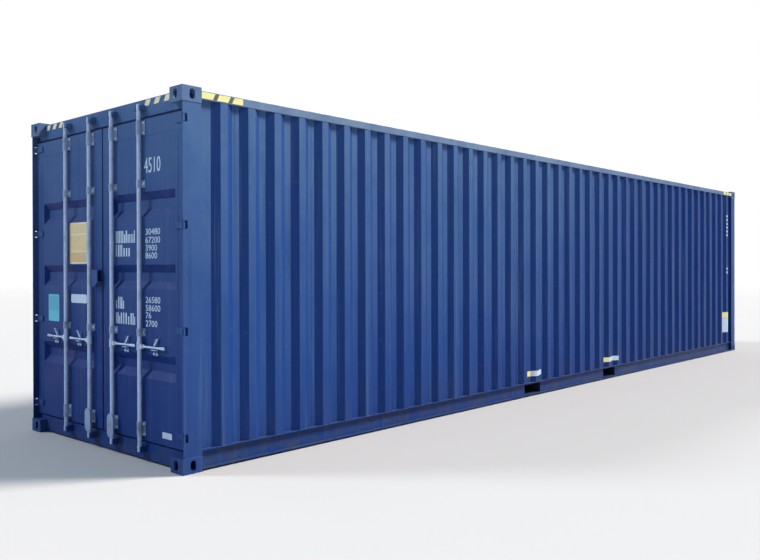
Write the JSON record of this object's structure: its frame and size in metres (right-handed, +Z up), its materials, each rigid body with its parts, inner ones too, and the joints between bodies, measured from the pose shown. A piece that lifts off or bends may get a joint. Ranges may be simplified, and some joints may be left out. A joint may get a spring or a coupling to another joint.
{
  "type": "shipping container",
  "caption": "Long high-cube freight container with corrugated steel walls, double cargo doors, lock rods with swing handles and cast corner fittings",
  "frame": {"origin": "centre of the footprint at ground level", "axes": "+X from the door end to the front end, +Y to the left when facing the doors, +Z up"},
  "size_m": [12.192, 2.438, 2.896],
  "materials": {
    "body_paint": "satin",
    "casting_paint": "satin, worn",
    "underside_paint": "matt",
    "floor_ply": "sealed plywood",
    "galvanised": "hot-dip zinc",
    "seal_rubber": "matt"
  },
  "bodies": {
    "shell": {"corner_castings_door_end": "casting_paint", "corner_castings_front_end": "casting_paint", "base_rail_right": "body_paint", "base_rail_left": "body_paint", "rail_webs": "body_paint", "side_wall_left": "body_paint", "side_wall_right": "body_paint", "top_rail_left": "body_paint", "top_rail_right": "body_paint", "roof_sheet": "body_paint", "roof_end_plates": "body_paint", "front_post_left": "body_paint", "front_post_right": "body_paint", "front_sill": "body_paint", "front_header": "body_paint", "front_wall": "body_paint", "door_post_left": "body_paint", "door_post_right": "body_paint", "door_header": "body_paint", "door_sill": "body_paint", "hinge_lugs": "body_paint", "rod_keepers": "body_paint", "cross_members": "underside_paint", "pocket_plates": "underside_paint", "pocket_sides": "underside_paint", "gooseneck_tunnel": "underside_paint", "floor_boards": "floor_ply"},
    "left_door": {"left_door_frame": "body_paint", "left_door_panel": "body_paint", "left_door_gasket": "seal_rubber", "left_door_hinge_blades": "body_paint", "left_rod_guides": "galvanised", "left_handle_retainers": "galvanised", "lock_box": "body_paint"},
    "right_door": {"right_door_frame": "body_paint", "right_door_panel": "body_paint", "right_door_gasket": "seal_rubber", "right_door_hinge_blades": "body_paint", "right_rod_guides": "galvanised", "right_handle_retainers": "galvanised"},
    "left_outer_rod": {"lock_rod_left_outer": "galvanised"},
    "left_outer_handle": {"handle_left_outer": "galvanised"},
    "left_inner_rod": {"lock_rod_left_inner": "galvanised"},
    "left_inner_handle": {"handle_left_inner": "galvanised"},
    "right_outer_rod": {"lock_rod_right_outer": "galvanised"},
    "right_outer_handle": {"handle_right_outer": "galvanised"},
    "right_inner_rod": {"lock_rod_right_inner": "galvanised"},
    "right_inner_handle": {"handle_right_inner": "galvanised"}
  },
  "joints": [
    {"name": "left_door_swing", "type": "hinge", "parent": "shell", "child": "left_door", "pos_m": [-6.081, 1.203, 1.4615], "axis": [0, 0, -1], "range_deg": [0, 265]},
    {"name": "right_door_swing", "type": "hinge", "parent": "shell", "child": "right_door", "pos_m": [-6.081, -1.203, 1.4615], "axis": [0, 0, 1], "range_deg": [0, 265]},
    {"name": "left_outer_rod_turn", "type": "hinge", "parent": "left_door", "child": "left_outer_rod", "pos_m": [-6.073, 0.6, 1.457], "axis": [0, 0, -1], "range_deg": [-110, 0]},
    {"name": "left_outer_handle_lift", "type": "hinge", "parent": "left_outer_rod", "child": "left_outer_handle", "pos_m": [-6.073, 0.636, 0.917], "axis": [-1, 0, 0], "range_deg": [-30, 0]},
    {"name": "left_inner_rod_turn", "type": "hinge", "parent": "left_door", "child": "left_inner_rod", "pos_m": [-6.073, 0.184, 1.457], "axis": [0, 0, -1], "range_deg": [-110, 0]},
    {"name": "left_inner_handle_lift", "type": "hinge", "parent": "left_inner_rod", "child": "left_inner_handle", "pos_m": [-6.073, 0.22, 0.917], "axis": [-1, 0, 0], "range_deg": [-30, 0]},
    {"name": "right_outer_rod_turn", "type": "hinge", "parent": "right_door", "child": "right_outer_rod", "pos_m": [-6.073, -0.6, 1.457], "axis": [0, 0, 1], "range_deg": [-110, 0]},
    {"name": "right_outer_handle_lift", "type": "hinge", "parent": "right_outer_rod", "child": "right_outer_handle", "pos_m": [-6.073, -0.636, 0.917], "axis": [1, 0, 0], "range_deg": [-30, 0]},
    {"name": "right_inner_rod_turn", "type": "hinge", "parent": "right_door", "child": "right_inner_rod", "pos_m": [-6.073, -0.184, 1.457], "axis": [0, 0, 1], "range_deg": [-110, 0]},
    {"name": "right_inner_handle_lift", "type": "hinge", "parent": "right_inner_rod", "child": "right_inner_handle", "pos_m": [-6.073, -0.22, 0.917], "axis": [1, 0, 0], "range_deg": [-30, 0]}
  ]
}
